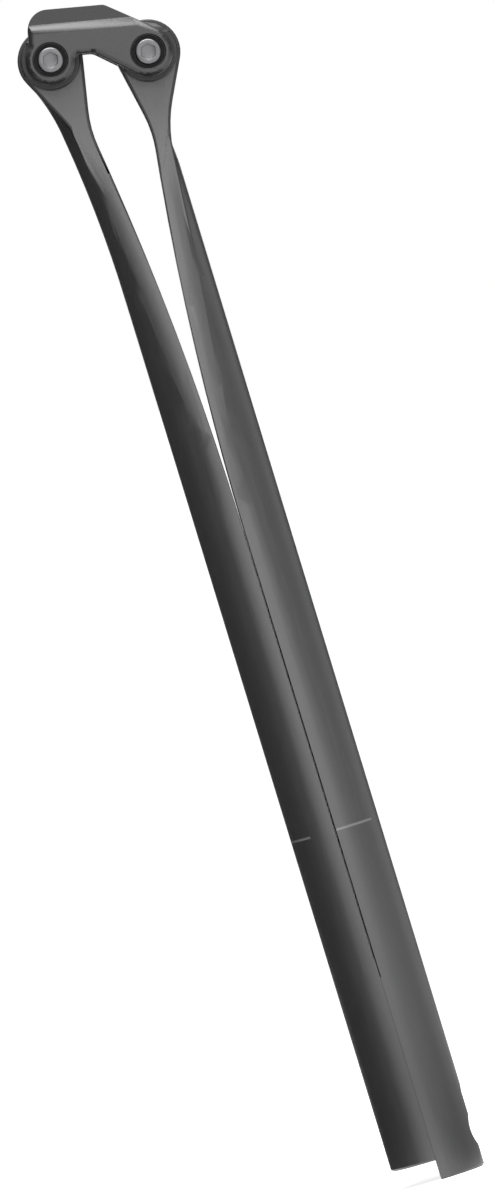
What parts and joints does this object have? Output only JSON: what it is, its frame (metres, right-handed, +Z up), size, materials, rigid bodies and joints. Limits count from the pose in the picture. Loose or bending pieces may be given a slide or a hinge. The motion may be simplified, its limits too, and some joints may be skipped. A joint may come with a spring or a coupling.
{
  "type": "bicycle seatpost",
  "caption": "Round seatpost split lengthwise into carbon leaf springs, with eyes bolted into a side-clamping saddle-rail head",
  "frame": {"origin": "on the shank's axis at the lower end of the front leaf, the lowest point of the post", "axes": "+Z up along the shank, +X towards the bicycle's front, +Y to its left side"},
  "size_m": [0.048, 0.0572, 0.3673],
  "materials": {
    "carbon": "satin carbon composite",
    "jaw": "black anodised, forged",
    "bush": "plain turned",
    "steel": "satin stainless",
    "spacer": "black moulded disc"
  },
  "bodies": {
    "root": {"front_leaf": "carbon", "rear_leaf": "carbon", "inner_jaw_right": "jaw", "inner_jaw_left": "jaw", "outer_jaw_right": "jaw", "outer_jaw_left": "jaw", "base_screw": "steel", "base_washer": "steel", "base_nut": "bush", "rear_eye_sleeve": "bush", "rear_eye_washer_right": "spacer", "rear_eye_washer_left": "spacer", "rear_clamp_bolt": "steel", "rear_bolt_washer": "steel", "rear_clamp_nut": "steel", "front_eye_sleeve": "bush", "front_eye_washer_right": "spacer", "front_eye_washer_left": "spacer", "front_clamp_bolt": "steel", "front_bolt_washer": "steel", "front_clamp_nut": "steel"}
  },
  "joints": []
}
